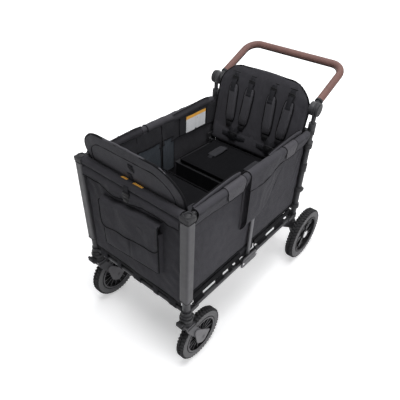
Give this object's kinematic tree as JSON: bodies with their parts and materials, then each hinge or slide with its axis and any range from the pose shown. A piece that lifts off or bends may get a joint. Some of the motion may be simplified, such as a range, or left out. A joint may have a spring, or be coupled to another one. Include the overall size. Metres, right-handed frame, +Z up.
{
  "type": "stroller wagon",
  "caption": "Folding stroller wagon: fabric tub with facing padded benches and backrests, swivelling front wheels, braked rear wheels and a tilting push handle.",
  "frame": {"origin": "on the floor, under the middle of the whole object's box", "axes": "+Z up, +Y towards the push handle, -Y towards the swivelling front wheels, +X to the side that is on the right when one looks from the front wheels towards the handle"},
  "size_m": [0.71, 1.2652, 1.1583],
  "materials": {
    "frame_paint": "satin powder coat",
    "post_grey": "satin",
    "black_plastic": "fine moulded texture",
    "handle_core": "satin powder coat",
    "fork_grey": "moulded, satin",
    "axle_steel": "brushed",
    "tub_fabric": "woven polyester",
    "pad_fabric": "padded woven polyester",
    "webbing": "ribbed webbing",
    "seat_board": "moulded",
    "floor_mat": "woven polyester over board",
    "grip_leather": "stitched leatherette",
    "tyre_rubber": "matt rubber",
    "rim_plastic": "moulded"
  },
  "bodies": {
    "rear_frame": {"rear_posts": "frame_paint", "rear_bars": "frame_paint", "rear_legs": "frame_paint", "rear_axle": "axle_steel", "rear_brackets": "black_plastic", "handle_stems": "frame_paint", "handle_hubs": "black_plastic", "rear_panel": "tub_fabric"},
    "rear_upper_fold": {"rear_top_rails": "frame_paint", "rear_rail_sleeves": "tub_fabric", "rear_side_walls": "tub_fabric"},
    "rear_lower_fold": {"rear_bottom_rails": "frame_paint", "rear_floor": "floor_mat"},
    "mid_frame": {"mid_posts": "post_grey", "mid_hinges": "black_plastic", "mid_floor": "floor_mat", "fold_strap": "webbing", "side_pockets": "tub_fabric"},
    "front_upper_fold": {"front_top_rails": "frame_paint", "front_rail_sleeves": "tub_fabric", "front_side_walls": "tub_fabric"},
    "front_frame": {"front_posts": "frame_paint", "front_bars": "frame_paint", "front_brackets": "black_plastic", "caster_housings": "black_plastic", "front_panel": "tub_fabric", "front_pocket": "tub_fabric", "strap_buckle": "black_plastic"},
    "front_lower_fold": {"front_bottom_rails": "frame_paint", "front_floor": "floor_mat"},
    "rear_bench": {"rear_bench_board": "seat_board", "rear_bench_cushion": "pad_fabric"},
    "front_bench": {"front_bench_board": "seat_board", "front_bench_cushion": "pad_fabric"},
    "rear_back": {"rear_back_hinge": "seat_board", "rear_backrest": "pad_fabric", "rear_shoulder_pads": "pad_fabric"},
    "front_back": {"front_back_hinge": "seat_board", "front_backrest": "pad_fabric", "front_shoulder_pads": "pad_fabric", "front_strap": "webbing"},
    "push_handle": {"handle_bar": "handle_core", "handle_grip": "grip_leather"},
    "button_l": {"hub_button_l": "black_plastic"},
    "button_r": {"hub_button_r": "black_plastic"},
    "brake": {"brake_shaft": "post_grey", "brake_pedal": "black_plastic"},
    "rear_wheel_l": {"rear_tyre_l": "tyre_rubber", "rear_rim_l": "rim_plastic"},
    "caster_l": {"caster_fork_l": "fork_grey"},
    "front_wheel_l": {"front_tyre_l": "tyre_rubber", "front_rim_l": "rim_plastic"},
    "lock_l": {"caster_lock_l": "black_plastic"},
    "rear_wheel_r": {"rear_tyre_r": "tyre_rubber", "rear_rim_r": "rim_plastic"},
    "caster_r": {"caster_fork_r": "fork_grey"},
    "front_wheel_r": {"front_tyre_r": "tyre_rubber", "front_rim_r": "rim_plastic"},
    "lock_r": {"caster_lock_r": "black_plastic"}
  },
  "joints": [
    {"name": "fold", "type": "hinge", "parent": "rear_frame", "child": "rear_upper_fold", "pos_m": [0, 0.29337, 0.894], "axis": [-1, 0, 0], "range_deg": [0, 64], "deforming": ["rear_side_walls", "front_side_walls", "side_pockets"]},
    {"name": "fold_rear_bottom", "type": "hinge", "parent": "rear_frame", "child": "rear_lower_fold", "pos_m": [0, 0.29337, 0.373], "axis": [-1, 0, 0], "range_deg": [0, 64]},
    {"name": "fold_mid", "type": "hinge", "parent": "rear_upper_fold", "child": "mid_frame", "pos_m": [0, -0.07363, 0.894], "axis": [-1, 0, 0], "range_deg": [-64, 0]},
    {"name": "fold_front_top", "type": "hinge", "parent": "mid_frame", "child": "front_upper_fold", "pos_m": [0, -0.18363, 0.894], "axis": [-1, 0, 0], "range_deg": [-64, 0]},
    {"name": "fold_front", "type": "hinge", "parent": "front_upper_fold", "child": "front_frame", "pos_m": [0, -0.55063, 0.894], "axis": [-1, 0, 0], "range_deg": [0, 64]},
    {"name": "fold_front_bottom", "type": "hinge", "parent": "front_frame", "child": "front_lower_fold", "pos_m": [0, -0.55063, 0.373], "axis": [-1, 0, 0], "range_deg": [-64, 0]},
    {"name": "fold_rear_bench", "type": "hinge", "parent": "rear_frame", "child": "rear_bench", "pos_m": [0, 0.24482, 0.682], "axis": [-1, 0, 0], "range_deg": [0, 88]},
    {"name": "fold_front_bench", "type": "hinge", "parent": "front_frame", "child": "front_bench", "pos_m": [0, -0.47442, 0.682], "axis": [-1, 0, 0], "range_deg": [-88, 0]},
    {"name": "rear_backrest_tilt", "type": "hinge", "parent": "rear_frame", "child": "rear_back", "pos_m": [0, 0.26882, 0.7], "axis": [-1, 0, 0], "range_deg": [-55, 0]},
    {"name": "front_backrest_tilt", "type": "hinge", "parent": "front_frame", "child": "front_back", "pos_m": [0, -0.49842, 0.7], "axis": [1, 0, 0], "range_deg": [-55, 0], "deforming": ["front_strap"]},
    {"name": "handle_tilt", "type": "hinge", "parent": "rear_frame", "child": "push_handle", "pos_m": [0, 0.33337, 1.01], "axis": [1, 0, 0], "range_deg": [-60, 45]},
    {"name": "hub_press_l", "type": "slide", "parent": "rear_frame", "child": "button_l", "axis": [1, 0, 0], "range_m": [0, 0.004], "stiffness_N_per_m": 400},
    {"name": "hub_press_r", "type": "slide", "parent": "rear_frame", "child": "button_r", "axis": [-1, 0, 0], "range_m": [0, 0.004], "stiffness_N_per_m": 400},
    {"name": "brake_press", "type": "hinge", "parent": "rear_frame", "child": "brake", "pos_m": [0, 0.42137, 0.227], "axis": [-1, 0, 0], "range_deg": [0, 15]},
    {"name": "rear_wheel_spin_l", "type": "hinge", "parent": "rear_frame", "child": "rear_wheel_l", "pos_m": [-0.33, 0.46237, 0.164], "axis": [1, 0, 0], "continuous": true},
    {"name": "caster_swivel_l", "type": "hinge", "parent": "front_frame", "child": "caster_l", "pos_m": [-0.3, -0.58463, 0.3], "axis": [0, 0, 1], "continuous": true},
    {"name": "front_wheel_spin_l", "type": "hinge", "parent": "caster_l", "child": "front_wheel_l", "pos_m": [-0.3, -0.49563, 0.137], "axis": [1, 0, 0], "continuous": true},
    {"name": "caster_lock_flip_l", "type": "hinge", "parent": "front_frame", "child": "lock_l", "pos_m": [-0.3, -0.61563, 0.322], "axis": [-1, 0, 0], "range_deg": [0, 40]},
    {"name": "rear_wheel_spin_r", "type": "hinge", "parent": "rear_frame", "child": "rear_wheel_r", "pos_m": [0.33, 0.46237, 0.164], "axis": [1, 0, 0], "continuous": true},
    {"name": "caster_swivel_r", "type": "hinge", "parent": "front_frame", "child": "caster_r", "pos_m": [0.3, -0.58463, 0.3], "axis": [0, 0, 1], "continuous": true},
    {"name": "front_wheel_spin_r", "type": "hinge", "parent": "caster_r", "child": "front_wheel_r", "pos_m": [0.3, -0.49563, 0.137], "axis": [1, 0, 0], "continuous": true},
    {"name": "caster_lock_flip_r", "type": "hinge", "parent": "front_frame", "child": "lock_r", "pos_m": [0.3, -0.61563, 0.322], "axis": [-1, 0, 0], "range_deg": [0, 40]}
  ],
  "couplings": [
    {"joint": "fold_rear_bottom", "follows": "fold", "ratio": 1},
    {"joint": "fold_mid", "follows": "fold", "ratio": -1},
    {"joint": "fold_front_top", "follows": "fold", "ratio": -1},
    {"joint": "fold_front", "follows": "fold", "ratio": 1},
    {"joint": "fold_front_bottom", "follows": "fold", "ratio": -1},
    {"joint": "fold_rear_bench", "follows": "fold", "ratio": 1.375},
    {"joint": "fold_front_bench", "follows": "fold", "ratio": -1.375}
  ]
}
